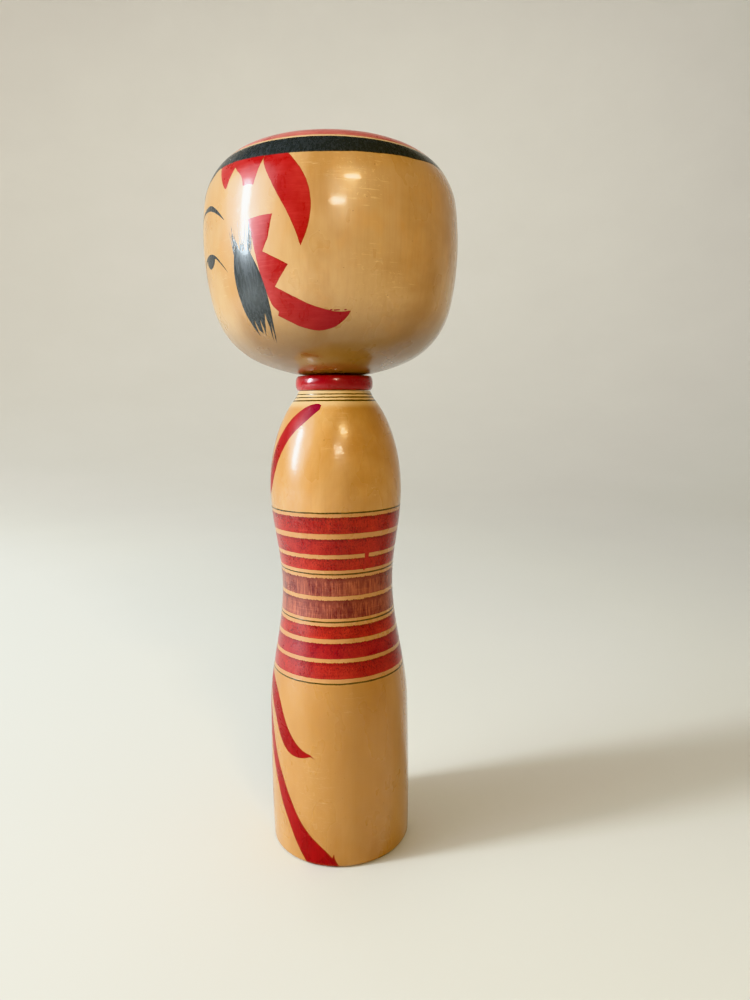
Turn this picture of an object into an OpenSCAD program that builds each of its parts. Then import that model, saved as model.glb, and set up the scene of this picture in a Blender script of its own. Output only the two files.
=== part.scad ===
// Kokeshi doll: a turned wooden head that snaps into a waisted body, with a loose neck ring.
// The doll stands on z = 0 with its axis on Z, and its face looks along -Y.

/* [Head] */
// Height of the head, from the seat under the chin to the crown
head_h = 74.3; // [70:0.1:80]
// Widest diameter of the head
head_d = 84.7; // [80:0.1:90]
// Height of the widest line above the seat
head_wide_h = 42.7; // [38:0.1:45]
// Radius of the cheek line, seen from the side
cheek_r = 89; // [75:1:110]
// Radius of the rounded corner round the brow
brow_r = 19.4; // [16:0.1:23]
// Radius of the rounded corner under the jaw
jaw_r = 25.7; // [22:0.1:29]
// Radius of the shallow dome on the crown
crown_r = 98; // [85:1:160]
// Radius of the shallow dome under the chin
chin_r = 65; // [55:1:90]
// Diameter of the flat seat under the head
seat_d = 18.7; // [18:0.1:22]

/* [Neck] */
// Diameter of the round spigot that turns in the body
spigot_d = 16; // [13:0.1:17]
// Extra radius of the swelling that snaps into the body
snap_lip = 0.9; // [0.4:0.1:1.4]
// Thickness of the neck ring
ring_h = 4.9; // [4:0.1:8]
// Outer diameter of the neck ring
ring_d = 26.8; // [25.5:0.1:30]
// Diameter of the flat faces of the neck ring
ring_face_d = 24.8; // [23:0.1:25]

/* [Body] */
// Height of the body, from the foot to the top of the collar
body_h = 162.8; // [156:0.1:166]
// Diameter of the foot
foot_d = 50; // [44:0.1:56]
// Height at which the foot starts to draw in
foot_h = 49; // [42:0.5:56]
// Diameter of the waist
waist_d = 39.4; // [36:0.1:42]
// Height of the waist
waist_z = 95.5; // [88:0.5:100]
// Diameter of the chest
chest_d = 46; // [43:0.1:50]
// Height of the chest, where the shoulders start to round in
chest_z = 129; // [124:0.5:132]
// Rise of the shoulder's elliptical curve above the chest
shoulder_rise = 39; // [36.5:0.5:42]
// Diameter at the top edge of the collar
collar_d = 24.9; // [23.5:0.1:25.5]
// Height of the straight collar
collar_h = 2.2; // [1.5:0.1:3]
// Width of the eased edge round the foot
foot_edge = 1.4; // [0.5:0.1:2.5]

/* [Fit] */
// Gap between the head, the ring and the body along the axis
stack_gap = 0.2; // [0.15:0.05:0.4]
// Running clearance on the radius of the spigot
spigot_clearance = 0.05; // [0.03:0.01:0.1]
// Room round the snapped end inside the body
socket_room = 0.35; // [0.3:0.05:0.6]

/* [Hidden] */
$fn = 128;

// How finely the curves are stepped
arc_step = 3;
blend_steps = 14;

// Stack of the three pieces along the axis
ring_z = body_h + stack_gap;
seat_z = ring_z + ring_h + stack_gap;
crown_z = seat_z + head_h;

// Inside of the neck joint
spigot_r = spigot_d / 2;
mouth_r = spigot_r + spigot_clearance;
mouth_depth = 5;
lip_r = spigot_r + snap_lip;
lip_rise = 1.6;
lip_h = 3.2;
nose_h = 5;
nose_r = 6;
ring_bore_r = spigot_r + 0.1;
lip_top_z = body_h - mouth_depth - socket_room;
lip_base_z = lip_top_z - lip_rise - lip_h;
spigot_end_z = lip_base_z - nose_h;
socket_floor_z = spigot_end_z - 1;

// Points on an arc about a centre [radius, height], from one angle to another
function arc(centre, r, from, to) =
    let (steps = max(2, ceil(abs(to - from) / arc_step)))
    [for (i = [0:steps]) let (a = from + (to - from) * i / steps)
        centre + r * [cos(a), sin(a)]];

// Smooth rise or fall from a to b as t goes from 0 to 1
function ease(a, b, t) = a + (b - a) * (1 - cos(180 * t)) / 2;

// Where two circles of radii ra and rb about pa and pb meet, on the outer side
function meeting(pa, ra, pb, rb) =
    let (gap = norm(pb - pa),
         along = (ra * ra - rb * rb + gap * gap) / (2 * gap),
         across = sqrt(ra * ra - along * along),
         dir = (pb - pa) / gap)
    pa + along * dir + across * [-dir[1], dir[0]];

function angle_from(centre, p) = atan2(p[1] - centre[1], p[0] - centre[0]);

// ---- head outline: dome of the chin, jaw corner, cheek, brow corner, dome of the crown ----
seat_r = seat_d / 2;
cheek_centre = [head_d / 2 - cheek_r, seat_z + head_wide_h];
crown_centre = [0, crown_z - crown_r];
chin_centre = [0, seat_z + sqrt(chin_r * chin_r - seat_r * seat_r)];
brow_centre = meeting(cheek_centre, cheek_r - brow_r, crown_centre, crown_r - brow_r);
jaw_centre = meeting(chin_centre, chin_r - jaw_r, cheek_centre, cheek_r - jaw_r);

// Angles at which one arc hands over to the next
chin_end = angle_from(chin_centre, jaw_centre);
jaw_end = angle_from(cheek_centre, jaw_centre);
cheek_end = angle_from(cheek_centre, brow_centre);
brow_end = angle_from(crown_centre, brow_centre);

head_outline = concat(
    arc(chin_centre, chin_r, angle_from(chin_centre, [seat_r, seat_z]), chin_end),
    arc(jaw_centre, jaw_r, chin_end, jaw_end),
    arc(cheek_centre, cheek_r, jaw_end, cheek_end),
    arc(brow_centre, brow_r, cheek_end, brow_end),
    arc(crown_centre, crown_r, brow_end, 90));

spigot_outline = [
    [0, spigot_end_z],
    [nose_r, spigot_end_z],
    [lip_r, lip_base_z],
    [lip_r, lip_base_z + lip_h],
    [spigot_r, lip_top_z],
    [spigot_r, seat_z]];

// ---- body outline: foot, waist, chest, elliptical shoulder, collar ----
foot_r = foot_d / 2;
waist_r = waist_d / 2;
chest_r = chest_d / 2;
collar_r = collar_d / 2;
shoulder_top_z = body_h - collar_h;

function shoulder_r(z) = chest_r * sqrt(1 - pow((z - chest_z) / shoulder_rise, 2));

body_outline = concat(
    arc([foot_r - foot_edge, foot_edge], foot_edge, -90, 0),
    [for (i = [0:blend_steps]) let (t = i / blend_steps)
        [ease(foot_r, waist_r, t), foot_h + (waist_z - foot_h) * t]],
    [for (i = [1:blend_steps]) let (t = i / blend_steps)
        [ease(waist_r, chest_r, t), waist_z + (chest_z - waist_z) * t]],
    [for (i = [1:blend_steps]) let (z = chest_z + (shoulder_top_z - chest_z) * i / blend_steps)
        [shoulder_r(z), z]],
    [[collar_r, body_h]]);

module head() {
    color("burlywood")
        rotate_extrude()
            polygon(concat(spigot_outline, head_outline));
}

// A flat-faced bead: a rounded rim between two flat faces
module neck_ring() {
    rim = (ring_d - ring_face_d) / 2;
    color("firebrick")
        translate([0, 0, ring_z])
            rotate_extrude()
                polygon(concat(
                    [[ring_bore_r, 0]],
                    [for (i = [0:blend_steps]) let (a = 180 * i / blend_steps)
                        [ring_face_d / 2 + rim * sin(a), ring_h * (1 - cos(a)) / 2]],
                    [[ring_bore_r, ring_h]]));
}

// The socket is narrow at its mouth, so the snapped spigot turns but can't lift out
module body() {
    color("burlywood")
        difference() {
            rotate_extrude()
                polygon(concat([[0, 0]], body_outline, [[0, body_h]]));
            translate([0, 0, body_h - mouth_depth - 1])
                cylinder(r = mouth_r, h = mouth_depth + 2);
            translate([0, 0, socket_floor_z])
                cylinder(r = lip_r + socket_room, h = body_h - mouth_depth - socket_floor_z);
        }
}

head();
neck_ring();
body();
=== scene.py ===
"""Looks of the kokeshi doll: waxed turned wood, dye bands laid on at the lathe, and brush painting.

Paint is laid out on the turned surfaces by an angle and a height. Angles are in degrees round the doll
from its nose, positive to the doll's left (+X). Heights and lengths are in millimetres until the mesh
is made, which is in metres.
"""
import random
from bisect import bisect_right
from itertools import accumulate
from math import ceil, cos, degrees, exp, hypot, radians, sin

import bmesh
import bpy
from mathutils import Matrix, Vector, noise
from mathutils.geometry import delaunay_2d_cdt


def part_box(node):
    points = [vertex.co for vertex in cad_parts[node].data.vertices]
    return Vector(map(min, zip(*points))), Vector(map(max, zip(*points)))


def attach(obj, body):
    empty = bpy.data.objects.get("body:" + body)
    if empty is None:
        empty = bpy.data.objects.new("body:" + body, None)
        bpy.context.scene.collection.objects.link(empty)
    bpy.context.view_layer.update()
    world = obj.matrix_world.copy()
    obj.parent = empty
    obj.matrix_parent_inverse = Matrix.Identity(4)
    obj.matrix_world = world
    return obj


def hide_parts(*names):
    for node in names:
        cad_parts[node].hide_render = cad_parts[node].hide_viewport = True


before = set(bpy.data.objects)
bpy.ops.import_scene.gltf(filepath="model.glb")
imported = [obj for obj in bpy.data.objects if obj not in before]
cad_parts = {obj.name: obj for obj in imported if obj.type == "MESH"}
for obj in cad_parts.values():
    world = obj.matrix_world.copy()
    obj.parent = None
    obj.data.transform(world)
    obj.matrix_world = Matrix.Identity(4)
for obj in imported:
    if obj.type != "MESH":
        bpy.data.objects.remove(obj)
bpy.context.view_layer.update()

MM = 0.001
# How far dye and ink stand off the wood, and how far their films reach down into it
PAINT_LIFT = 0.03
INK_LIFT = 0.05
PAINT_SINK = 0.12
# Steps round the axis of a turned piece and of a band
ROUND_SEGMENTS = 288
BAND_SEGMENTS = 900
# An edge that bends by more than this is drawn sharp
SHARP_ANGLE = radians(32)
# A vertex that bends its outline by less than STRAIGHT, in radians, only splits a chord of this length
STRAIGHT = 0.002
LONGEST_CHORD = 6.0
# The middle radii at which the head's and the body's paintings are laid flat
HEAD_RADIUS = 41.5
BODY_RADIUS = 24.0


# ---- turned surfaces
def on_axis_at(angle, radius, height):
    """The point in space, in metres, at an angle round the axis, a radius and a height."""
    a = radians(angle)
    return Vector((radius * sin(a), -radius * cos(a), height)) * MM


def cad_corners(node):
    """The radius and height, in millimetres, of each vertex of a CAD node."""
    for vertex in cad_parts[node].data.vertices:
        yield hypot(vertex.co.x, vertex.co.y) / MM, vertex.co.z / MM


def added(name, data):
    """A new object, put in the scene."""
    thing = bpy.data.objects.new(name, data)
    bpy.context.scene.collection.objects.link(thing)
    return thing


def running_lengths(points):
    """The length along a line of points up to each of them."""
    return list(accumulate(((b - a).length for a, b in zip(points, points[1:])), initial=0.0))


class Outline:
    """The outside of a turned CAD node, read off its mesh, as radius and height by length along it."""

    def __init__(self, node, floor=0.0, least_radius=0.0):
        widest = {}
        for radius, height in cad_corners(node):
            height = round(height, 3)
            if height >= floor and radius >= least_radius:
                widest[height] = max(radius, widest.get(height, 0.0))
        points = [Vector((widest[height], height)) for height in sorted(widest)]
        self.points = [point for i, point in enumerate(points) if not self._splits_chord(points, i)]
        self.heights = [point.y for point in self.points]
        self.lengths = running_lengths(self.points)
        self.total = self.lengths[-1]
        self.slopes = [self._slope(i) for i in range(len(self.points))]

    @staticmethod
    def _splits_chord(points, i):
        """Whether a point only splits one short chord of an arc, and so would flatten the curve."""
        if not 0 < i < len(points) - 1:
            return False
        before = points[i] - points[i - 1]
        after = points[i + 1] - points[i]
        bend = abs(before.normalized().cross(after.normalized()))
        return bend < STRAIGHT and before.length + after.length < LONGEST_CHORD

    def _slope(self, i):
        """The direction at a point, from the stretches on either side, the shorter counting more."""
        stretches = [j for j in (i - 1, i) if 0 <= j < len(self.points) - 1]
        runs = [self.lengths[j + 1] - self.lengths[j] for j in stretches]
        slopes = [(self.points[j + 1] - self.points[j]) / run for j, run in zip(stretches, runs)]
        if len(slopes) == 1:
            return slopes[0]
        return (slopes[0] * runs[1] + slopes[1] * runs[0]) / (runs[0] + runs[1])

    def at(self, length):
        """The point (radius, height) at a length along the outline, and the direction there."""
        length = min(max(length, 0.0), self.total)
        i = min(bisect_right(self.lengths, length), len(self.points) - 1) - 1
        step = self.lengths[i + 1] - self.lengths[i]
        t = (length - self.lengths[i]) / step
        a, b = self.points[i], self.points[i + 1]
        u, v = self.slopes[i] * step, self.slopes[i + 1] * step
        point = (
            a * (2 * t**3 - 3 * t**2 + 1)
            + u * (t**3 - 2 * t**2 + t)
            + b * (3 * t**2 - 2 * t**3)
            + v * (t**3 - t**2)
        )
        along = (
            a * (6 * t**2 - 6 * t)
            + u * (3 * t**2 - 4 * t + 1)
            + b * (6 * t - 6 * t**2)
            + v * (3 * t**2 - 2 * t)
        )
        return point, along.normalized()

    def _halve_in(self, low, high, rounds, short):
        """The length at which short, which holds for the outline's points before it, stops holding."""
        for _ in range(rounds):
            middle = (low + high) / 2
            if short(self.at(middle)[0]):
                low = middle
            else:
                high = middle
        return (low + high) / 2

    def length_at(self, height):
        """The length along the outline at which it reaches a height."""
        i = min(max(bisect_right(self.heights, height), 1), len(self.points) - 1) - 1
        return self._halve_in(self.lengths[i], self.lengths[i + 1], 24, lambda point: point.y < height)

    def length_at_crown_radius(self, radius):
        """The length along the outline at which it closes in to a radius, near its top."""
        return self._halve_in(self.total * 0.6, self.total, 30, lambda point: point.x > radius)

    def place(self, angle, length, lift=0.0):
        """The point in space, in metres, at an angle and length, standing off the surface by lift."""
        point, along = self.at(length)
        return on_axis_at(angle, max(point.x + lift * along.y, 0.0), point.y - lift * along.x)


def hidden_rings(node, share, within, up_to=1e9, top_down=False):
    """The corners (radius, height, share) of a node's hidden inner profile, in order along the axis."""
    found = {
        (round(radius, 2), round(height, 2), share)
        for radius, height in cad_corners(node) if 1.0 < radius < within and height < up_to
    }
    return sorted(found, key=lambda ring: (-ring[1] if top_down else ring[1], ring[0]))


def finish_mesh(name, bm):
    """Makes the object from a bmesh, smooth but for its corners, with its faces turned outwards."""
    bmesh.ops.recalc_face_normals(bm, faces=bm.faces)
    for face in bm.faces:
        face.smooth = True
    for edge in bm.edges:
        if edge.is_manifold and edge.calc_face_angle(0.0) > SHARP_ANGLE:
            edge.smooth = False
    mesh = bpy.data.meshes.new(name)
    bm.to_mesh(mesh)
    bm.free()
    return added(name, mesh)


def turned(name, profile, closed=False, wear=None, segments=ROUND_SEGMENTS):
    """A piece turned from a profile of (radius, height, share of the texture) in millimetres.

    An open profile starts and ends on the axis; a closed one runs round a bore. wear(angle, height) is
    how deep the outside, where the share is 1, is worn."""
    bm = bmesh.new()
    uv = bm.loops.layers.uv.new("OFBake")
    n = segments
    angles = [-180 + 360 * j / n for j in range(n)]
    margin = 0.004
    reach = [0.0]
    count = len(profile)
    for i in range(1, count + (1 if closed else 0)):
        (r0, z0, _), (r1, z1, share) = profile[i - 1], profile[i % count]
        reach.append(reach[-1] + hypot(r1 - r0, z1 - z0) * share)
    rows = []
    for radius, height, share in profile:
        if radius < 1e-6:
            rows.append([bm.verts.new(on_axis_at(0, 0, height))])
            continue
        row = []
        for angle in angles:
            worn = radius - (wear(angle, height) if wear and share == 1 else 0.0)
            row.append(bm.verts.new(on_axis_at(angle, worn, height)))
        rows.append(row)
    for i in range(1, len(reach)):
        low, high = rows[i - 1], rows[i % count]
        v0, v1 = reach[i - 1] / reach[-1], reach[i] / reach[-1]
        for j in range(n):
            k = (j + 1) % n
            corners = []
            if len(low) > 1:
                corners += [(low[j], j / n, v0), (low[k], (j + 1) / n, v0)]
            else:
                corners += [(low[0], (j + 0.5) / n, v0)]
            if len(high) > 1:
                corners += [(high[k], (j + 1) / n, v1), (high[j], j / n, v1)]
            else:
                corners += [(high[0], (j + 0.5) / n, v1)]
            face = bm.faces.new([vert for vert, _, _ in corners])
            for loop, (_, u, v) in zip(face.loops, corners):
                loop[uv].uv = (margin + (1 - 2 * margin) * u, margin + (1 - 2 * margin) * v)
    return finish_mesh(name, bm)


def sampled(outline, spacing, fine_until=0.0, fine_spacing=0.2):
    """Points (radius, height, 1) along an outline at about a spacing, or a finer one up to fine_until."""
    fine = ceil(fine_until / fine_spacing)
    rest = round((outline.total - fine_until) / spacing)
    lengths = [fine_until * i / fine for i in range(fine)]
    lengths += [fine_until + (outline.total - fine_until) * i / rest for i in range(rest + 1)]
    points = [outline.at(length)[0] for length in lengths]
    return [(max(point.x, 0.0), point.y, 1.0) for point in points]


def disc_steps(radius, height, share, count=6):
    """Rings that fill a flat disc from the axis out to a radius."""
    return [(radius * i / count, height, share) for i in range(count)]


def dents(seed, count, angles, heights, size, depth):
    """A wear function: shallow dents, some drawn out sideways, scattered over a turned surface."""
    rng = random.Random(seed)
    marks = [[rng.uniform(*span) for span in (angles, heights, size, depth, (1, 2.4))] for _ in range(count)]

    def wear(angle, height):
        total = 0.0
        for mark_angle, mark_height, radius, deep, stretch in marks:
            rise = (height - mark_height) / radius
            if abs(rise) > 3:
                continue
            turn = radians((angle - mark_angle + 180) % 360 - 180) * BODY_RADIUS / (radius * stretch)
            if abs(turn) < 3:
                total += deep * exp(-(rise * rise + turn * turn))
        return total

    return wear


# ---- outlines of paint
def curve(points, spacing=0.4, closed=False):
    """A smooth curve through flat points, as evenly spaced points."""
    points = [Vector(point) for point in points]
    count = len(points)
    if count < 3 and not closed:
        dense = points
    else:
        dense = []
        for i in range(count if closed else count - 1):
            p1, p2 = points[i], points[(i + 1) % count]
            p0 = points[i - 1] if closed or i > 0 else p1 * 2 - p2
            p3 = points[(i + 2) % count] if closed or i + 2 < count else p2 * 2 - p1
            for k in range(16):
                t = k / 16
                dense.append(
                    0.5 * (2 * p1 + (p2 - p0) * t + (2 * p0 - 5 * p1 + 4 * p2 - p3) * t**2
                           + (3 * p1 - p0 - 3 * p2 + p3) * t**3)
                )
        dense.append(points[0] if closed else points[-1])
    reach = running_lengths(dense)
    steps = max(2, round(reach[-1] / spacing))
    even = []
    i = 0
    for k in range(steps + (0 if closed else 1)):
        target = reach[-1] * k / steps
        while i < len(reach) - 2 and reach[i + 1] < target:
            i += 1
        t = (target - reach[i]) / max(reach[i + 1] - reach[i], 1e-9)
        even.append(dense[i].lerp(dense[i + 1], min(max(t, 0), 1)))
    return even


def chain(*edges, same=0.05):
    """One closed loop from edges that follow on from each other, each a list of flat points."""
    loop = []
    for edge in edges:
        for point in edge:
            if not loop or (point - loop[-1]).length > same:
                loop.append(point)
    if (loop[0] - loop[-1]).length < same:
        loop.pop()
    return loop


def roughened(loop, size, grain, seed):
    """A loop whose edge wanders a little, as the edge of a brush mark does."""
    count = len(loop)
    out = []
    for i, point in enumerate(loop):
        tangent = (loop[(i + 1) % count] - loop[i - 1]).normalized()
        sway = noise.noise(Vector((point.x / grain, point.y / grain, seed * 7.3)))
        fine = noise.noise(Vector((point.x / grain * 4, point.y / grain * 4, seed * 3.1 + 40)))
        out.append(point + Vector((tangent.y, -tangent.x)) * size * (sway + 0.5 * fine))
    return out


def stroke(points, widths, spacing=0.3):
    """The loop round a brush stroke through flat points, as wide at each as widths says."""
    line = curve([(point.x, point.y, width) for point, width in zip(points, widths)], spacing)
    count = len(line)
    left, right = [], []
    for i, point in enumerate(line):
        tangent = (line[min(i + 1, count - 1)] - line[max(i - 1, 0)]).to_2d().normalized()
        side = Vector((-tangent.y, tangent.x)) * max(point.z, 0.06) / 2
        left.append(point.to_2d() + side)
        right.append(point.to_2d() - side)
    return chain(left, right[::-1])


def edge_distance(point, loops):
    """How far a flat point is from the nearest edge of the loops, and whether it is inside them."""
    nearest, inside = 1e9, False
    for loop in loops:
        for a, b in zip(loop, loop[1:] + loop[:1]):
            run = b - a
            t = min(max((point - a).dot(run) / max(run.length_squared, 1e-12), 0), 1)
            nearest = min(nearest, (a + run * t - point).length)
            if (a.y > point.y) != (b.y > point.y):
                inside ^= point.x < a.x + (point.y - a.y) / (b.y - a.y) * run.x
    return nearest, inside


class Canvas:
    """A turned surface to paint on, laid flat about a middle radius so that shapes keep their form."""

    def __init__(self, outline, body, radius):
        self.outline = outline
        self.body = body
        self.radius = radius

    def flat(self, points, mirror=False):
        """Flat points, in millimetres, for (angle, height) pairs."""
        sign = -1 if mirror else 1
        return [
            Vector((radians(angle) * self.radius * sign, self.outline.length_at(height)))
            for angle, height in points
        ]

    def film(self, name, loops, material, slot, lift=PAINT_LIFT, cell=1.1, crowns=0.45,
             fine_below=0.0, tone=None):
        """A thin closed film of paint inside flat loops, with a row of points just within its edge.

        Its points lie about a cell apart, crowns in from the edge, and in closer rows below fine_below,
        to follow a tight curve there. The paint thins to its edge, and tone says how far it darkens
        towards wine red at a side angle and height."""
        fine_cell, row_pitch, edge_lift = cell * 0.35, 0.87, lift * 0.45
        coords, edges = [], []
        for loop in loops:
            first, count = len(coords), len(loop)
            coords += loop
            edges += [(first + i, first + (i + 1) % count) for i in range(count)]
        rim_count = len(coords)
        for loop in loops:
            for i, point in enumerate(loop):
                if i % 2:
                    continue
                tangent = (loop[(i + 1) % len(loop)] - loop[i - 1]).normalized()
                for side in (crowns, -crowns):
                    inner = point + Vector((-tangent.y, tangent.x)) * side
                    gap, inside = edge_distance(inner, loops)
                    if inside and gap > crowns * 0.8:
                        coords.append(inner)
        low = Vector((min(p.x for p in coords), min(p.y for p in coords)))
        high = Vector((max(p.x for p in coords), max(p.y for p in coords)))
        row = 0
        y = low.y + cell / 2
        while y < high.y:
            step = fine_cell if y < fine_below else cell
            x = low.x + (cell / 2 if row % 2 else 0)
            while x < high.x:
                point = Vector((x, y))
                gap, inside = edge_distance(point, loops)
                if inside and gap > crowns * (1.8 if step == cell else 0.6):
                    coords.append(point)
                x += cell
            y += step * row_pitch
            row += 1
        points, _, faces, sources, _, _ = delaunay_2d_cdt(coords, edges, [], 1, 1e-5)
        on_rim = [not source or min(source) < rim_count for source in sources]

        bm = bmesh.new()
        uv = bm.loops.layers.uv.new("OFBake")
        pool = bm.verts.layers.float.new("pool")
        shade = bm.verts.layers.float.new("tone")
        span = high - low
        tops, bottoms = [], []
        for point, rim in zip(points, on_rim):
            angle = degrees(point.x / self.radius)
            top = bm.verts.new(self.outline.place(angle, point.y, edge_lift if rim else lift))
            top[pool] = 0.0 if rim else 1.0
            top[shade] = tone(abs(angle), top.co.z / MM) if tone else 0.0
            bottom = bm.verts.new(self.outline.place(angle, point.y, -PAINT_SINK))
            tops.append(top)
            bottoms.append(bottom)

        def lay(corners, indices, base, depth):
            """A face, laid out in the stretch of the texture that starts at base."""
            for loop, i in zip(bm.faces.new(corners).loops, indices):
                u = (points[i].x - low.x) / max(span.x, 1e-6)
                v = (points[i].y - low.y) / max(span.y, 1e-6)
                loop[uv].uv = (0.02 + 0.96 * u, base + depth * v)

        uses = {}
        for face in faces:
            lay([tops[i] for i in face], face, 0.02, 0.78)
            lay([bottoms[i] for i in face[::-1]], face[::-1], 0.82, 0.16)
            for a, b in zip(face, list(face[1:]) + [face[0]]):
                uses[(a, b)] = uses.get((a, b), 0) + 1
        for a, b in list(uses):
            if (b, a) not in uses:
                lay([tops[b], tops[a], bottoms[a], bottoms[b]], [b, a, a, b], 0.02, 0.78)
        loose = [vert for vert in bm.verts if not vert.link_faces]
        bmesh.ops.delete(bm, geom=loose, context="VERTS")
        dress(finish_mesh(name, bm), self.body, material)

    def band(self, name, low, high, material, slot, ragged=(0.0, 0.0), lift=PAINT_LIFT, seed=1, tone=0.0):
        """A closed ring of dye between two lengths along the outline; low may depend on the angle.

        Ragged is how far its low and high edges bleed along the fibre, tone how wine-dark it is. Its
        texture is cut into strips, one above another."""
        bm = bmesh.new()
        uv = bm.loops.layers.uv.new("OFBake")
        pool = bm.verts.layers.float.new("pool")
        rise = bm.verts.layers.float.new("rise")
        shade = bm.verts.layers.float.new("tone")
        n, strips = BAND_SEGMENTS, 4
        width = high - (low(90) if callable(low) else low)
        widest_rim, row_spacing, edge_lift = 0.35, 0.9, lift * 0.4
        soft = min(widest_rim, width / 4) / width
        rows = 2 + round(width / row_spacing)
        shares = [0.0] + [soft + (1 - 2 * soft) * i / (rows - 1) for i in range(rows)] + [1.0]
        grid = []
        for j in range(n):
            angle = -180 + 360 * j / n
            a = radians(angle)
            around = Vector((sin(a), -cos(a), seed * 1.7)) * self.radius
            wander = 0.07 * noise.noise(around * 0.35)
            fibre = noise.noise(around * 2.6) + 0.6 * noise.noise(around * 6.5)
            start = low(angle) if callable(low) else low
            bleed = noise.noise(around * 3.1 + Vector((9, 0, 0))) + 0.5 * fibre
            bottom = start + wander - ragged[0] * max(fibre, -0.3)
            top = high + wander + ragged[1] * max(bleed, -0.25)
            column = []
            for i, share in enumerate(shares):
                edge = i in (0, len(shares) - 1)
                length = bottom + (top - bottom) * share
                vert = bm.verts.new(self.outline.place(angle, length, edge_lift if edge else lift))
                vert[pool] = 0.0 if edge else 1.0
                vert[rise] = share
                vert[shade] = tone
                column.append(vert)
            for length in (top, bottom):
                column.append(bm.verts.new(self.outline.place(angle, length, -PAINT_SINK)))
            grid.append(column)
        count = len(grid[0])
        for j in range(n):
            k = (j + 1) % n
            strip = j * strips // n
            u0 = (j * strips / n - strip) * 0.98 + 0.01
            u1 = u0 + strips / n * 0.98
            for i in range(count):
                m = (i + 1) % count
                face = bm.faces.new([grid[j][i], grid[k][i], grid[k][m], grid[j][m]])
                v0 = min(i, len(shares) - 1) / len(shares)
                v1 = min(i + 1, len(shares) - 1) / len(shares) if m else 0.0
                corners = ((u0, v0), (u1, v0), (u1, v1), (u0, v1))
                for loop, (u, v) in zip(face.loops, corners):
                    loop[uv].uv = (u, (strip + 0.04 + 0.92 * v) / strips)
        dress(finish_mesh(name, bm), self.body, material)


def eased(knots, angle):
    """A height read off knots of (angle from the front, height), the same on the left and right."""
    turn = abs((angle + 180) % 360 - 180)
    for (a, low), (b, high) in zip(knots, knots[1:]):
        if turn <= b:
            t = (turn - a) / (b - a)
            return low + (high - low) * t * t * (3 - 2 * t)
    return knots[-1][1]


def dress(piece, body, material):
    """Gives a piece its material, and fixes it to its body."""
    piece.data.materials.append(material)
    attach(piece, body)


# ---- materials
def from_screen(red, green, blue):
    """A colour given as 0 to 255 screen values, in the linear values that shaders take."""
    def linear(value):
        value /= 255
        return value / 12.92 if value <= 0.04045 else ((value + 0.055) / 1.055) ** 2.4

    return (linear(red), linear(green), linear(blue), 1.0)


class Shader:
    """A node material being built, with a short call for each kind of node that it uses."""

    def __init__(self, name, coat=0.0, coat_roughness=0.1, ior=1.5):
        self.material = bpy.data.materials.new(name)
        self.material.use_nodes = True
        self.tree = self.material.node_tree
        self.shader = self.tree.nodes["Principled BSDF"]
        self.shader.inputs["Coat Weight"].default_value = coat
        self.shader.inputs["Coat Roughness"].default_value = coat_roughness
        self.shader.inputs["IOR"].default_value = ior
        self.object_space = self.node("ShaderNodeTexCoord").outputs["Object"]

    def node(self, kind, inputs=(), **settings):
        node = self.tree.nodes.new(kind)
        for key, value in settings.items():
            setattr(node, key, value)
        for key, value in dict(inputs).items():
            self.plug(node.inputs[key], value)
        return node

    def plug(self, socket, value):
        """Links the output of a node to a socket, or sets the socket to a value of its own."""
        if isinstance(value, bpy.types.NodeSocket):
            self.tree.links.new(value, socket)
        else:
            socket.default_value = value

    def scaled(self, x, y, z, shift=0.0):
        """Object space in cells per millimetre along each axis."""
        cells = {"Vector": self.object_space, "Scale": (x / MM, y / MM, z / MM), "Location": (shift,) * 3}
        return self.node("ShaderNodeMapping", cells).outputs[0]

    def noise(self, x, y, z, detail=3.0, rough=0.55, distort=0.0, shift=0.0):
        """Cloudy noise from 0 to 1 with x, y and z cells per millimetre."""
        options = {
            "Vector": self.scaled(x, y, z, shift),
            "Scale": 1.0, "Detail": detail, "Roughness": rough, "Distortion": distort,
        }
        return self.node("ShaderNodeTexNoise", options).outputs["Fac"]

    def math(self, operation, *values, clamp=False):
        node = self.node("ShaderNodeMath", dict(enumerate(values)), operation=operation)
        node.use_clamp = clamp
        return node.outputs[0]

    def times(self, a, b):
        return self.math("MULTIPLY", a, b)

    def plus(self, a, b, clamp=False):
        return self.math("ADD", a, b, clamp=clamp)

    def ramp(self, value, low, high, to_low=0.0, to_high=1.0):
        options = {"Value": value, "From Min": low, "From Max": high, "To Min": to_low, "To Max": to_high}
        return self.node("ShaderNodeMapRange", options, interpolation_type="SMOOTHSTEP").outputs[0]

    def mix(self, share, a, b, blend="MIX"):
        """A mixture of two colours, each the output of a node or screen values."""
        node = self.node("ShaderNodeMix", data_type="RGBA", blend_type=blend)
        for i, value in ((0, share), (6, a), (7, b)):
            self.plug(node.inputs[i], from_screen(*value) if isinstance(value, tuple) else value)
        return node.outputs[2]

    def tint(self, share, colour, blend="MIX"):
        """Mixes a colour into the one that the surface has so far."""
        self.colour = self.mix(share, self.colour, colour, blend)

    def axis(self, name):
        return self.node("ShaderNodeSeparateXYZ", {0: self.object_space}).outputs[name]

    def attribute(self, name):
        return self.node("ShaderNodeAttribute", attribute_name=name).outputs["Fac"]

    def finish(self, roughness, bumps=()):
        """Joins up the surface; bumps are (height, strength, distance in millimetres), laid in turn."""
        self.plug(self.shader.inputs["Base Color"], self.colour)
        self.plug(self.shader.inputs["Roughness"], roughness)
        normal = None
        for height, strength, distance in bumps:
            options = {"Height": height, "Strength": strength, "Distance": distance * MM}
            if normal:
                options["Normal"] = normal
            normal = self.node("ShaderNodeBump", options).outputs[0]
        if normal:
            self.plug(self.shader.inputs["Normal"], normal)
            self.plug(self.shader.inputs["Coat Normal"], normal)
        return self.material


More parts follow.
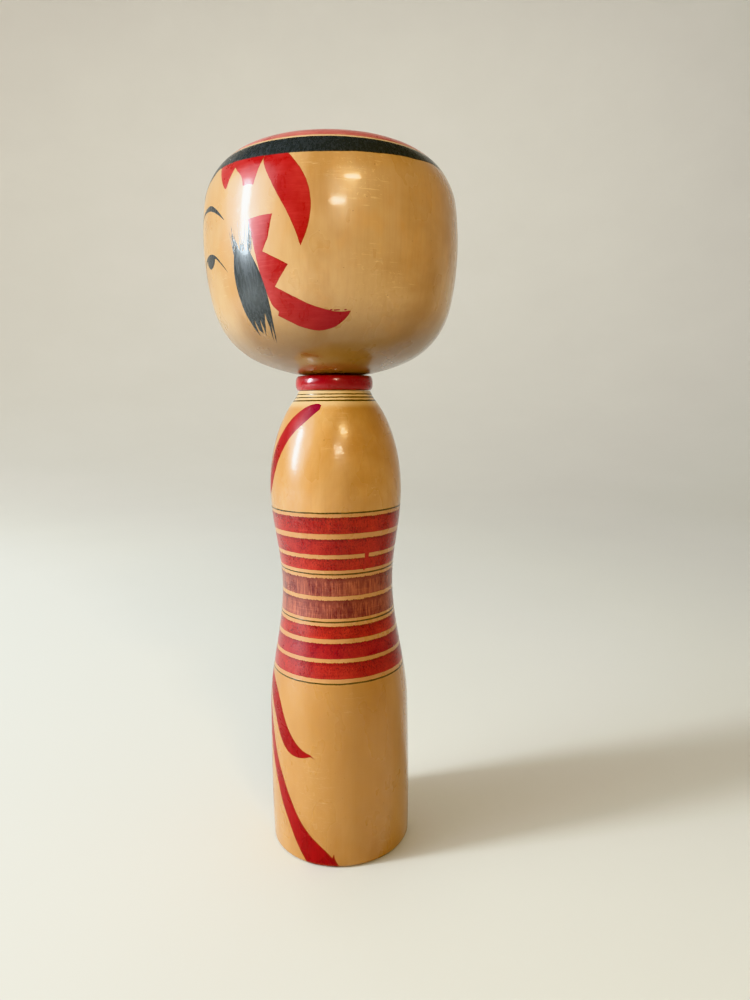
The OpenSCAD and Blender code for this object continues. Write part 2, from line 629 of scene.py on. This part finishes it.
def growth_rings(shader, pith_x, pith_y, spacing, shift):
    """Growth rings, 0 to 1, of a log whose pith lies off to one side of the lathe's axis."""
    wobble = shader.noise(0.03, 0.03, 0.008, detail=2, shift=shift)
    x = shader.math("SUBTRACT", shader.axis("X"), pith_x * MM)
    y = shader.math("SUBTRACT", shader.axis("Y"), pith_y * MM)
    square = shader.plus(shader.times(x, x), shader.times(y, y))
    away = shader.math("SQRT", square)
    turns = shader.times(away, 1 / (spacing * MM))
    turns = shader.plus(turns, shader.times(wobble, 5))
    swell = shader.times(shader.math("PINGPONG", turns, 0.5), 2)
    return shader.math("POWER", swell, 3)


def wood(name, light, dark, pith, shift, grooves, tints=()):
    """Fine pale hardwood, amber with age, under worn wax. Tints are stretches of another tone, each as
    (low, high, share, colour, softness of its ends), with lengths in millimetres of height; some are
    partly painted shade, and one partly a painted highlight."""
    shader = Shader(name, coat=0.6, coat_roughness=0.07)
    mottle = shader.noise(0.03, 0.03, 0.017, detail=4, rough=0.6, distort=0.8, shift=shift)
    patch = shader.noise(0.09, 0.09, 0.06, detail=4, rough=0.65, distort=0.5, shift=shift + 2)
    fibre = shader.noise(1.5, 1.5, 0.035, detail=5, rough=0.65, shift=shift + 3)
    fleck = shader.noise(2.6, 2.6, 0.45, detail=2, rough=0.5, shift=shift + 7)
    rings = growth_rings(shader, pith[0], pith[1], 2.6, shift)
    scrape = shader.noise(0.16, 0.16, 2.7, detail=2, rough=0.6, distort=0.9, shift=shift + 21)
    worn = shader.noise(0.045, 0.045, 0.05, detail=3, rough=0.6, shift=shift + 25)
    speck = shader.noise(1.1, 1.1, 1.3, detail=1, rough=0.4, shift=shift + 29)

    shader.colour = shader.mix(shader.ramp(mottle, 0.3, 0.7), light, dark)
    shader.tint(shader.ramp(patch, 0.45, 0.75, 0, 0.28), (206, 146, 74))
    shader.tint(shader.ramp(fibre, 0.38, 0.75, 0, 0.08), (170, 108, 50), "MULTIPLY")
    shader.tint(shader.times(rings, 0.05), (190, 128, 70), "MULTIPLY")
    shader.tint(shader.ramp(fleck, 0.68, 0.8, 0, 0.16), (146, 88, 40))
    scratches = shader.times(shader.ramp(scrape, 0.62, 0.7), shader.ramp(worn, 0.5, 0.64))
    shader.tint(shader.times(scratches, 0.34), (246, 212, 156))
    scuff = shader.noise(0.8, 0.8, 1.1, detail=3, rough=0.6, distort=1.2, shift=shift + 33)
    scuffs = shader.times(shader.ramp(scuff, 0.6, 0.68), shader.ramp(worn, 0.54, 0.64))
    shader.tint(shader.times(scuffs, 0.3), (240, 204, 146))
    shader.tint(shader.ramp(speck, 0.775, 0.8, 0, 0.5), (104, 62, 30))
    height = shader.axis("Z")
    for low, high, share, tint, soft in tints:
        above = shader.ramp(height, (low - soft) * MM, (low + soft) * MM)
        below = shader.ramp(height, (high - soft) * MM, (high + soft) * MM, share, 0)
        shader.tint(shader.times(above, below), tint)
    lathe = shader.noise(0.02, 0.02, 2.2, detail=4, rough=0.7, shift=shift + 11)
    smear = shader.noise(0.09, 0.09, 0.05, detail=3, shift=shift + 17)
    roughness = shader.ramp(smear, 0.3, 0.75, 0.24, 0.4)
    return shader.finish(roughness, [
        (lathe, grooves, 0.06), (fibre, 0.2, 0.03), (smear, 0.25, 0.2), (scratches, 0.35, -0.04),
    ])


def dyed(name, thick, thin, streaks, specks, shift, coat=0.5, dark=(84, 12, 16), edge=0.4,
         grain=(2.6, 2.6, 0.12)):
    """Dye on wood: streaks where it is thin along the grain, dark specks in the pores, a darker rim."""
    shader = Shader(name, coat=coat, ior=1.34)
    cloud = shader.noise(0.14, 0.14, 0.12, detail=4, rough=0.62, distort=0.5, shift=shift)
    fibre = shader.noise(*grain, detail=5, rough=0.7, shift=shift + 5)
    lathe = shader.noise(0.06, 0.06, 1.5, detail=4, rough=0.65, shift=shift + 7)
    speck = shader.noise(2.7, 2.7, 1.9, detail=3, rough=0.7, shift=shift + 9)
    thinness = shader.ramp(cloud, 0.34, 0.7, 0, 0.45)
    share = shader.plus(thinness, shader.ramp(fibre, 0.42, 0.66, 0, streaks))
    share = shader.plus(share, shader.ramp(lathe, 0.5, 0.7, 0, 0.3), clamp=True)
    shader.colour = shader.mix(share, thick, thin)
    rise = shader.attribute("rise")
    patches = shader.plus(shader.ramp(cloud, 0.35, 0.6, 1, 0.25), rise, clamp=True)
    pores = shader.times(shader.ramp(speck, 0.5, 0.62), shader.times(patches, specks))
    shader.tint(pores, dark)
    teeth = shader.times(shader.ramp(rise, 0.7, 0.97), shader.ramp(fibre, 0.45, 0.56, 0, 0.75))
    shader.tint(teeth, dark)
    shader.tint(shader.ramp(shader.attribute("pool"), 0, 0.9, edge, 0), dark)
    shader.tint(shader.times(shader.attribute("tone"), 0.8), (122, 20, 46))
    roughness = shader.ramp(cloud, 0.3, 0.7, 0.24, 0.38)
    return shader.finish(roughness, [(fibre, 0.25, 0.03), (speck, 0.35, 0.03), (lathe, 0.2, 0.03)])


def inked(name, shift):
    """Black ink brushed on and waxed, with thinner streaks that show a blue-grey cast."""
    shader = Shader(name, coat=0.15, ior=1.45)
    streak = shader.noise(1.1, 1.1, 0.08, detail=5, rough=0.7, shift=shift)
    cross = shader.noise(0.25, 0.25, 1.6, detail=3, rough=0.6, shift=shift + 4)
    shader.colour = shader.mix(shader.ramp(streak, 0.35, 0.75), (46, 48, 48), (56, 59, 62))
    shader.tint(shader.ramp(cross, 0.55, 0.75, 0, 0.45), (58, 62, 67))
    roughness = shader.ramp(streak, 0.3, 0.75, 0.22, 0.34)
    return shader.finish(roughness, [(cross, 0.15, 0.03), (streak, 0.12, 0.03)])


HEAD_WOOD = wood("head_wood", (193, 155, 108), (167, 123, 73), (18, 46), 2, grooves=0.14, tints=[
    # Darker under the chin: partly painted shade below the head, partly the wood's own darker tone there
    (150, 182, 0.72, (112, 76, 40), 9),
    (233, 260, 0.6, (222, 192, 150), 0.3),
])
BODY_WOOD = wood("body_wood", (200, 155, 98), (174, 123, 65), (-30, 22), 31, grooves=0.4, tints=[
    # Darker, more olive below the bands: partly the wood's own tone, partly painted shade where less light
    # reaches the lower body
    (-20, 65.6, 0.55, (154, 98, 26), 1),
    (66, 122.8, 0.5, (180, 120, 76), 0.2),
    # Paler collar: partly the wood's own paler tone, partly a painted highlight on its slope, which faces up
    # to the light
    (157.8, 164, 0.6, (226, 196, 148), 1.2),
])
BRUSH_RED = dyed("brush_red", (144, 26, 26), (170, 56, 54), 0.3, 0, 5,
                 coat=0.3, edge=0.2, grain=(0.2, 0.2, 1.8))
PETAL_RED = dyed("petal_red", (122, 8, 14), (156, 24, 26), 0.35, 0.2, 12, coat=0, edge=0.3)
BAND_RED = dyed("band_red", (136, 18, 19), (188, 56, 42), 0.3, 1, 20)
BAND_PURPLE = dyed("band_purple", (96, 33, 36), (166, 92, 71), 0.75, 0.3, 44,
                   dark=(80, 24, 30), grain=(2, 2, 0.16))
CROWN_RED = dyed("crown_red", (172, 84, 82), (200, 124, 114), 0.4, 0.3, 60,
                 coat=0.3, dark=(140, 56, 54))
RING_RED = dyed("ring_red", (146, 16, 26), (168, 34, 42), 0.2, 0, 71, coat=0.8, edge=0)
INK = inked("black_ink", 80)
LINE_INK = dyed("line_ink", (58, 44, 14), (104, 80, 36), 0.6, 0.5, 90, edge=0, dark=(40, 30, 12))


# ---- turned wooden pieces
head_seat = min(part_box("head")[1].z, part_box("neck_ring")[1].z) / MM
head_outline = Outline("head", floor=head_seat + 0.05)
body_outline = Outline("body", least_radius=12.0)
ring_outline = Outline("neck_ring", least_radius=9.0)

seat_radius, seat_height = head_outline.points[0]
head_spigot = hidden_rings("head", 0.2, seat_radius - 0.1, up_to=seat_height + 0.1)
head_profile = disc_steps(*head_spigot[0]) + head_spigot + sampled(head_outline, 0.9)
head_wear = dents(4, 26, (-180, 180), (176, 238), (0.5, 1.3), (0.01, 0.04))
head_wood = turned("head_wood", head_profile, wear=head_wear)
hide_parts("head")
dress(head_wood, "head", HEAD_WOOD)

body_socket = hidden_rings("body", 0.2, 11.0, top_down=True)
body_profile = (
    disc_steps(body_outline.points[0].x, 0.0, 0.3)
    + sampled(body_outline, 0.9, fine_until=3.0)
    + body_socket
    + [(0.0, body_socket[-1][1], 0.2)]
)
foot_wear = dents(9, 30, (20, 150), (8, 42), (0.5, 1.4), (0.02, 0.07))
chest_wear = dents(10, 22, (-180, 180), (126, 156), (0.5, 1.6), (0.015, 0.05))
back_wear = dents(11, 24, (150, 380), (6, 60), (0.5, 1.5), (0.02, 0.06))
body_wood = turned("body_wood", body_profile, wear=lambda *place: (
    foot_wear(*place) + chest_wear(*place) + back_wear(*place)
))
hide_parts("body")
dress(body_wood, "body", BODY_WOOD)

ring_bore = hidden_rings("neck_ring", 0.3, 9.0, top_down=True)
ring = turned("neck_ring_wood", sampled(ring_outline, 0.25) + ring_bore, closed=True)
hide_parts("neck_ring")
dress(ring, "neck_ring", RING_RED)

head_canvas = Canvas(head_outline, "head", HEAD_RADIUS)
body_canvas = Canvas(body_outline, "body", BODY_RADIUS)
INK_FILM = {"material": INK, "slot": "black_ink", "lift": INK_LIFT}
RED_FILM = {"material": BRUSH_RED, "slot": "red_dye"}
PETAL_FILM = {"material": PETAL_RED, "slot": "red_dye"}
SIDES = (("left", False), ("right", True))


# ---- bands laid on at the lathe
def body_band(name, low, high, material, slot, **options):
    """A band round the body between two heights."""
    low, high = body_outline.length_at(low), body_outline.length_at(high)
    body_canvas.band(name, low, high, material, slot, **options)


# Low and high edge of each band, with how wine-dark the red ones are, and height and width of each line
RED_BANDS = [(116.2, 121.8, 0.0), (109.0, 114.4, 0.15), (103.6, 107.6, 0.0),
             (80.3, 84.5, 0.0), (73.8, 78.8, 0.4), (67.2, 72.5, 0.15)]
PURPLE_BANDS = [(94.7, 100.9), (87.1, 93.3)]
THIN_LINES = [(123.2, 0.5), (102.25, 0.5), (85.9, 0.5), (65.6, 0.5),
              (161.65, 0.38), (160.6, 0.42), (159.5, 0.5)]
for i, (low, high, tone) in enumerate(RED_BANDS):
    body_band(f"red_band_{i + 1}", low, high, BAND_RED, "red_dye", ragged=(0.06, 0.3), seed=10 + i, tone=tone)
for i, (low, high) in enumerate(PURPLE_BANDS):
    body_band(f"purple_band_{i + 1}", low, high, BAND_PURPLE, "purple_dye", ragged=(0.12, 0.45), seed=20 + i)
for i, (height, width) in enumerate(THIN_LINES):
    body_band(f"thin_line_{i + 1}", height - width / 2, height + width / 2, LINE_INK, "black_ink",
              ragged=(0.06, 0.06), lift=INK_LIFT, seed=30 + i)


# ---- rings on the crown
def crown_band(name, outer, inner, material, slot, seed, lift=PAINT_LIFT):
    """A ring on the crown between two radii."""
    low, high = (head_outline.length_at_crown_radius(radius) for radius in (outer, inner))
    head_canvas.band(name, low, high, material, slot, ragged=(0.04, 0.04), lift=lift, seed=seed)


HAIR_EDGE = [
    (0, 229.2), (40, 229.1), (75, 228.2), (92, 228.15), (110, 228.6), (130, 229.35), (150, 230.6),
    (180, 231.4),
]
head_canvas.band(
    "crown_black_ring", lambda angle: head_outline.length_at(eased(HAIR_EDGE, angle)),
    head_outline.length_at(233.6), ragged=(0.08, 0.04), seed=50, **INK_FILM,
)
red_ring_edge = head_outline.at(head_outline.length_at(234.3))[0].x
crown_band("crown_red_ring", red_ring_edge, 24.0, CROWN_RED, "red_dye", 51)
crown_band("crown_line_outer", 22.8, 22.2, LINE_INK, "black_ink", 52, INK_LIFT)
crown_band("crown_purple_ring", 21.0, 14.0, BAND_PURPLE, "purple_dye", 53)
crown_band("crown_line_inner", 12.9, 12.3, LINE_INK, "black_ink", 54, INK_LIFT)
crown_band("crown_red_centre", 8.6, 1.6, CROWN_RED, "red_dye", 55)


# ---- painting on the head
BROW = [
    (13.4, 209.6), (14.4, 212.8), (16.4, 215.4), (19.8, 217), (24, 217.8), (29, 218), (33.2, 217.7),
    (37.2, 216.6), (41.2, 214.9), (45.2, 212.7),
]
BROW_WIDTHS = [0.12, 0.25, 0.4, 0.6, 0.9, 1.35, 1.65, 1.35, 0.8, 0.2]
LID = [
    (14.6, 198.2), (18.4, 201.4), (23.4, 203.5), (28.4, 204.1), (32.6, 203.9), (37, 202.6), (41.4, 200.1),
    (44.7, 197.8),
]
LID_WIDTHS = [0.15, 0.45, 0.7, 0.85, 0.9, 0.65, 0.38, 0.12]
PUPIL = [
    (25.2, 203.8), (24.9, 202.3), (26.7, 201), (29.2, 200.3), (32, 200.6), (34.2, 201.6), (35.3, 203),
    (32.6, 204.2), (28.8, 204.3),
]
NOSE = [(3, 194), (4.4, 191), (4.2, 189), (2.6, 188.2), (1, 188.8)]
NOSE_WIDTHS = [0.12, 0.45, 0.7, 0.6, 0.15]
MOUTH = [(-5, 182.6), (-2.6, 181.8), (0, 182.1), (2.6, 181.8), (5, 182.6)]
MOUTH_WIDTHS = [0.15, 1.0, 0.75, 1.0, 0.15]
LIP = [(-2.4, 180.3), (0, 179.8), (2.4, 180.3)]
LIP_WIDTHS = [0.15, 0.95, 0.15]

LOCK_FRONT = [
    (51.6, 204.2), (50.5, 202.4), (49.6, 200), (48.9, 196.4), (49.1, 192.6), (49.8, 189.2), (50.3, 186.6),
    (51.1, 184.2), (51.9, 182.4), (52.5, 180.8), (53.3, 179.2),
]
LOCK_TIPS = [
    (54.6, 184), (54.9, 180.6), (56.5, 179.7), (58.2, 183.8), (58.3, 181.2), (57.3, 178.9), (59.8, 181.6),
    (62, 185.2), (62, 181.2), (60.3, 177.4), (62.6, 180.4), (63.6, 182.6), (63, 179.6), (61.2, 176.8),
    (63.2, 178.8),
]
LOCK_BACK = [
    (64.7, 182), (65.5, 185.7), (65.5, 189.2), (64.4, 193.4), (62.6, 197.4), (60.8, 200.2), (59.2, 202.6),
]
LOCK_TOP = [
    (58, 203.8), (57.4, 202.4), (56.6, 204.6), (55.8, 202.6), (54.6, 205.2), (53.8, 203), (52.8, 205.4),
    (51.6, 204.2),
]

FRINGE = [
    [(37.8, 228.8), (41.6, 225.1), (45.8, 221.3), (48.4, 224.2), (50.6, 227)],
    [(52.4, 225.6), (55.2, 223.7), (56.2, 222), (56.8, 220.6), (59.4, 220.8), (62, 220.3)],
    [(63.2, 222.8), (64.4, 225.2), (65.6, 227.5)],
    [(66.6, 230.2)],
    [(37.4, 230.2)],
]

HAIR_BOW = [
    [(65.7, 227.4), (67, 224.8), (72, 218), (76.8, 211.8), (79.8, 206.8), (81.8, 202.5)],
    [(84.3, 206.4), (85.9, 211), (86.1, 215.4), (84.5, 220.4), (80.7, 225), (74.9, 229.6)],
    [(66.4, 229.6)],
    [(65.7, 227.4)],
]

RIBBON = [
    [(59.5, 211.1), (65, 211.6), (70.7, 211.7)],
    [(69.5, 208.6), (68.3, 205.4), (66.7, 203.4), (65.5, 201.8)],
    [(70.8, 199.9), (76.2, 197.8)],
    [(73.2, 195.2), (69.6, 192)],
    [(77.2, 189.2), (84.4, 186.8), (91.8, 185.3), (97, 184.8), (101.8, 185.1)],
    [(100.3, 183.5), (97.3, 181.8), (93.6, 180.5), (86.8, 179.8), (79.2, 180.8), (73.7, 182.4),
     (68.6, 184.2)],
    [(69.5, 185.2)],
    [(67.1, 187), (65.7, 189.6), (64.6, 192.3), (63.1, 196.6), (62, 201), (60.8, 206), (59.5, 211.1)],
]
# Angle, height and half the length, in degrees, of each fleck over the ribbon's end
RIBBON_FLECKS = [(93.2, 185.25, 0.5), (95.6, 185.2, 1.3), (99.4, 185.3, 0.5)]


def looped(canvas, edges, mirror=False):
    """A closed flat loop from smooth edges of (angle, height) points. Each edge after the first goes on
    from the last point of the one before it, so that one point makes a straight edge."""
    starts = [[]] + [edge[-1:] for edge in edges[:-1]]
    return chain(*[curve(canvas.flat(start + edge, mirror)) for start, edge in zip(starts, edges)])


def brushed(points, widths, mirror=False, spacing=0.3):
    """The loop round a brush stroke on the head."""
    return stroke(head_canvas.flat(points, mirror), widths, spacing)


def bristles(seed, count, roots, tips, drift, width, mirror):
    """Hair-fine marks where a drying brush splits on the head: roots is the range of angles at which they
    start, tips the ranges of heights of their low and high ends."""
    rng = random.Random(seed)
    loops = []
    for _ in range(count):
        share = rng.random()
        angle = roots[0] + (roots[1] - roots[0]) * share
        low = rng.uniform(*tips[0])
        high = rng.uniform(*tips[1])
        lean = drift * (share - 0.5) + rng.uniform(-0.8, 0.8)
        path = [(angle, low), (angle + lean * 0.4, (low + high) / 2), (angle + lean, high)]
        thick = rng.uniform(*width)
        loops.append(brushed(path, [thick, thick * 0.8, 0.08], mirror, 0.35))
    return loops


def ribbon_tone(angle, height):
    """The ribbon's end, where the red turns to wine."""
    return 0.5 * min(max((angle - 72) / 20, 0), 1)


def paint_side(side, mirror):
    """The half of the head's painting that is laid alike on the left and the right."""
    def film(name, loops, **options):
        head_canvas.film(name.format(side), loops, **options)

    film("brow_{}", [brushed(BROW, BROW_WIDTHS, mirror)], crowns=0.25, cell=0.7, **INK_FILM)
    film("eyelid_{}", [brushed(LID, LID_WIDTHS, mirror)], crowns=0.2, cell=0.7, **INK_FILM)
    pupil = curve(head_canvas.flat(PUPIL, mirror), 0.3, closed=True)
    film("pupil_{}", [pupil], cell=0.8, crowns=0.3, **INK_FILM)
    tips, top = ([[point] for point in zigzag] for zigzag in (LOCK_TIPS, LOCK_TOP))
    lock = looped(head_canvas, [LOCK_FRONT, *tips, LOCK_BACK, *top], mirror)
    film("side_lock_{}", [roughened(lock, 0.06, 1.2, 3)], **INK_FILM)
    strand_tips = ((200.6, 204.6), (205.0, 212.0))
    strands = bristles(21 + mirror, 30, (50.4, 60.6), strand_tips, 3.0, (0.2, 0.45), mirror)
    for i, strand in enumerate(strands):
        film(f"lock_bristle_{{}}_{i + 1}", [strand], crowns=0.12, cell=2.0, **INK_FILM)
    fringe = looped(head_canvas, FRINGE, mirror)
    film("red_fringe_{}", [roughened(fringe, 0.07, 1.5, 5)], **RED_FILM)
    bow = looped(head_canvas, HAIR_BOW, mirror)
    film("hair_bow_{}", [roughened(bow, 0.07, 1.5, 6)], **RED_FILM)
    ribbon = looped(head_canvas, RIBBON, mirror)
    film("ribbon_{}", [roughened(ribbon, 0.07, 1.5, 7)], tone=ribbon_tone, **RED_FILM)
    flecks = [
        brushed([(angle - reach, height), (angle + reach, height + 0.1)], [0.4, 0.3], mirror, 0.2)
        for angle, height, reach in RIBBON_FLECKS
    ]
    film("ribbon_flecks_{}", flecks, lift=INK_LIFT, crowns=0.1, cell=2.0, tone=lambda *_: 1.0, **RED_FILM)


for side, mirror in SIDES:
    paint_side(side, mirror)

nostrils = [brushed(NOSE, NOSE_WIDTHS, mirror, 0.2) for _, mirror in SIDES]
head_canvas.film("nose", nostrils, crowns=0.15, cell=0.6, **INK_FILM)
lips = [brushed(MOUTH, MOUTH_WIDTHS, spacing=0.2), brushed(LIP, LIP_WIDTHS, spacing=0.2)]
head_canvas.film("mouth", lips, crowns=0.2, cell=0.6, **RED_FILM)

# The forelock: a fan of ink strokes under the crown ring, over the middle of the brow
FORELOCK_SIDE = [
    (3.4, 217.2), (5.6, 222.6), (8.2, 218), (10.6, 223.6), (13.4, 219.8), (15.4, 225.2), (18.2, 222.4),
    (20.2, 226.8), (22.6, 225.6), (24.4, 227.4), (26.6, 226.9), (31, 228.2), (36.6, 229.8),
]
forelock_points = [(-angle, height) for angle, height in reversed(FORELOCK_SIDE)] + [(0, 223)]
forelock_points += FORELOCK_SIDE + [(0, 230.6)]
straight_edges = [forelock_points[:2]] + [[point] for point in forelock_points[2:] + forelock_points[:1]]
forelock = looped(head_canvas, straight_edges)
head_canvas.film("forelock", [roughened(forelock, 0.08, 1.0, 9)], INK, "black_ink", lift=INK_LIFT * 0.9)


# ---- petals on the body
def wine_tip(angle, height):
    """The shoulder petal's end, where the brush stopped and the dye pooled dark."""
    return min(max((angle - 50) / 20, 0.0), 1.0)


SHOULDER = [
    [(77.4, 158), (73, 158.5), (64.5, 158.2), (56.4, 157.3), (49.1, 155.8), (41.8, 153.9), (35.9, 151.7),
     (30.4, 149), (25, 146), (19.8, 142.2), (16.4, 138.2), (12.6, 133.2), (8, 126.8)],
    [(14.4, 128), (22, 130.6), (26.8, 134), (31.2, 137.8), (35.4, 141), (40.1, 144), (45.1, 146.8),
     (51.6, 149.4), (58, 151.4), (64.2, 153.2), (70.3, 155), (76.2, 156.6)],
]
HIP = [
    [(4, 64.4), (13, 64), (20, 63), (26, 61.6), (32.6, 59.2), (38, 56), (42.5, 52.4), (46.5, 49.1),
     (50.4, 46.6), (55.1, 44.2), (60.8, 42.2), (65.6, 41.2), (70, 40.5), (73.4, 39.3)],
    [(70.2, 39.9), (67, 39.4), (63, 38.9), (57.4, 38.6), (51.6, 38.9), (45.6, 40.1), (40.4, 42.3),
     (35.6, 45.3), (30.8, 49.2), (25, 52.9), (16, 57.2), (9, 61.2), (4, 64.4)],
]
FOOT = [
    [(4, 60.4), (11, 56), (16.6, 51.4), (22, 46.1), (25.5, 42), (29, 38.4), (32.8, 35), (36.8, 31.9),
     (40.8, 29.2), (44.6, 26), (49.8, 22.3), (55.9, 17.8), (62.9, 13.6), (71, 10), (79.1, 6.9),
     (86.2, 3.8)],
    [(87.6, 5.2), (88.3, 3.3), (91.2, 0.8)],
    [(91.4, 0.1), (78, 0.1), (65.8, 0.1)],
    [(62.2, 2.1), (57.7, 5), (52.5, 8.8), (48.2, 12.5), (43.2, 16.3), (38, 20.2), (33.4, 24.6),
     (28.6, 28.8), (23.4, 33.2), (17.6, 38.4), (11.6, 45.6), (7, 53), (4, 60.4)],
]
BREAST = [
    [(2.2, 127.4), (5.6, 130.4), (9, 135.4), (11.2, 141), (11.4, 147), (9.2, 152.8)],
    [(6.8, 147), (5.6, 140.6), (3.8, 133.6), (2.2, 127.4)],
]
KNEE = [
    [(2.2, 59.6), (5.8, 52), (9.2, 40), (11.4, 27), (11.8, 15), (9.8, 5.6)],
    [(7.6, 15), (6.4, 27), (4.8, 41), (2.2, 59.6)],
]

# Each petal's edges, seed and tone
PETALS = {
    "shoulder": (SHOULDER, 11, wine_tip),
    "breast": (BREAST, 12, None),
    "hip": (HIP, 13, None),
    "knee": (KNEE, 14, None),
}
for side, mirror in SIDES:
    for name, (edges, seed, tone) in PETALS.items():
        petal = roughened(looped(body_canvas, edges, mirror), 0.06, 1.6, seed)
        body_canvas.film(f"{name}_petal_{side}", [petal], tone=tone, **PETAL_FILM)
    petal = roughened(looped(body_canvas, FOOT, mirror), 0.05, 1.6, 15)
    body_canvas.film(f"foot_petal_{side}", [petal], fine_below=2.6, **PETAL_FILM)

# Heights and widths of the petals down the middle
CENTRE_PETALS = {
    "low": ([58.5, 46, 30, 17, 9], [0.3, 1.5, 2.4, 2.6, 0.3]),
    "high": ([127.6, 136, 146, 151, 155], [0.3, 1.3, 2.0, 1.8, 0.3]),
}
for name, (heights, widths) in CENTRE_PETALS.items():
    petal = stroke(body_canvas.flat([(0, height) for height in heights]), widths)
    body_canvas.film(f"centre_petal_{name}", [petal], **PETAL_FILM)

SPILL = [
    (119.8, 110.6), (123, 109.4), (126, 110.4), (124.4, 108), (127.2, 105.6), (125.6, 104.6),
    (122.8, 106.4), (121.4, 103.6), (119.2, 103.4), (120.4, 106.6),
]
spill = roughened(curve(body_canvas.flat(SPILL), 0.25, closed=True), 0.15, 0.6, 16)
body_canvas.film("red_spill", [spill], lift=INK_LIFT, crowns=0.25, cell=0.7, **RED_FILM)


# ---- studio
def studio_floor():
    """A pale floor that sweeps up into a wall all round, so that no edge shows behind the doll."""
    flat_radius, bend, steps, wall_top = 900.0, 2300.0, 24, 3600.0
    profile = [(radius, 0.0, 1.0) for radius in (0.0, 150.0, 350.0, 600.0, flat_radius)]
    for i in range(1, steps + 1):
        a = radians(90 * i / steps)
        profile.append((flat_radius + bend * sin(a), bend * (1 - cos(a)), 1.0))
    profile.append((flat_radius + bend, wall_top, 1.0))
    floor = turned("studio_floor", profile, segments=96)
    floor.location.z = -0.0001
    shader = Shader("studio_paper")
    cloud = shader.noise(0.004, 0.004, 0.004)
    shader.colour = shader.mix(cloud, (207, 203, 194), (213, 209, 200))
    floor.data.materials.append(shader.finish(0.75))


def area_light(name, turn, elevation, distance, width, height, watts, colour,
               aim=(0, 0, 0.14), mirrored=True, round_edge=False):
    """A soft flat light that looks at a point, from an angle round from the camera and up.

    One that isn't mirrored lights the doll without showing in its gloss."""
    light = bpy.data.lights.new(name, "AREA")
    light.shape = "ELLIPSE" if round_edge else "RECTANGLE"
    light.size, light.size_y = width, height
    light.energy = watts
    light.color = colour
    lamp = added(name, light)
    a, e = radians(VIEW_AZIMUTH + turn), radians(elevation)
    away = Vector((sin(a) * cos(e), -cos(a) * cos(e), sin(e)))
    lamp.location = Vector(aim) + away * distance
    lamp.rotation_mode = "QUATERNION"
    lamp.rotation_quaternion = away.to_track_quat("Z", "Y")
    lamp.visible_camera = False
    lamp.visible_glossy = mirrored


VIEW_AZIMUTH = 94.0
studio_floor()
area_light("window", -78, 19, 1.3, 0.18, 0.56, 20, (0.8, 0.92, 1.0))
area_light("window_glow", -76, 20, 1.3, 0.5, 0.9, 8, (0.78, 0.92, 1.0), mirrored=False)
area_light("window_haze", -76, 26, 1.1, 1.0, 0.95, 5.5, (0.78, 0.91, 1.0), round_edge=True)
area_light("lamp_near", 18, 38.5, 0.423, 0.075, 0.01, 0.5, (1.0, 0.76, 0.36),
           aim=(0, 0, 0.13), round_edge=True)
area_light("lamp_far", 6, 22.5, 1.5, 0.3, 0.03, 4.2, (1.0, 0.9, 0.66), round_edge=True)
area_light("ceiling", -20, 80, 1.9, 1.6, 1.6, 2.4, (1.0, 0.96, 0.9), mirrored=False)
for turn, watts in ((-8, 28), (54, 20), (120, 8), (236, 8)):
    a = radians(VIEW_AZIMUTH + turn)
    behind = (-2.6 * sin(a), 2.6 * cos(a), 0.9)
    area_light(f"wall_wash_{turn % 360}", turn, 50, 1.9, 1.6, 0.8, watts, (1.0, 0.98, 0.94), behind, False)

world = bpy.data.worlds.new("studio_air")
world.use_nodes = True
air = world.node_tree.nodes["Background"].inputs
air["Color"].default_value = (1.0, 0.97, 0.92, 1.0)
air["Strength"].default_value = 0.06
bpy.context.scene.world = world
bpy.context.scene.view_settings.view_transform = "Khronos PBR Neutral"


# ---- camera
def make_camera(azimuth, distance, height, yaw, pitch, roll, lens):
    """The camera stands off the doll's axis at an azimuth and height, in metres, and looks towards the
    axis, then turns right by yaw, down by pitch and rolls, in degrees."""
    yaw, pitch, roll = (radians(angle) for angle in (yaw, pitch, roll))
    ahead = Vector((sin(yaw) * cos(pitch), cos(yaw) * cos(pitch), -sin(pitch)))
    right = Vector((cos(yaw), -sin(yaw), 0.0))
    up = right.cross(ahead)
    rolled_right = right * cos(roll) + up * sin(roll)
    rolled_up = up * cos(roll) - right * sin(roll)
    turn = Matrix((rolled_right, rolled_up, -ahead)).transposed().to_4x4()
    camera = added("camera", bpy.data.cameras.new("camera"))
    camera.data.lens = lens
    camera.data.sensor_width = 36.0
    camera.data.clip_start = 0.01
    camera.matrix_world = Matrix.Rotation(radians(azimuth), 4, "Z") @ (
        Matrix.Translation((0.0, -distance, height)) @ turn
    )
    bpy.context.scene.camera = camera


make_camera(VIEW_AZIMUTH, 0.245, 0.1575, yaw=3.22, pitch=7.7, roll=-0.53, lens=24.97)
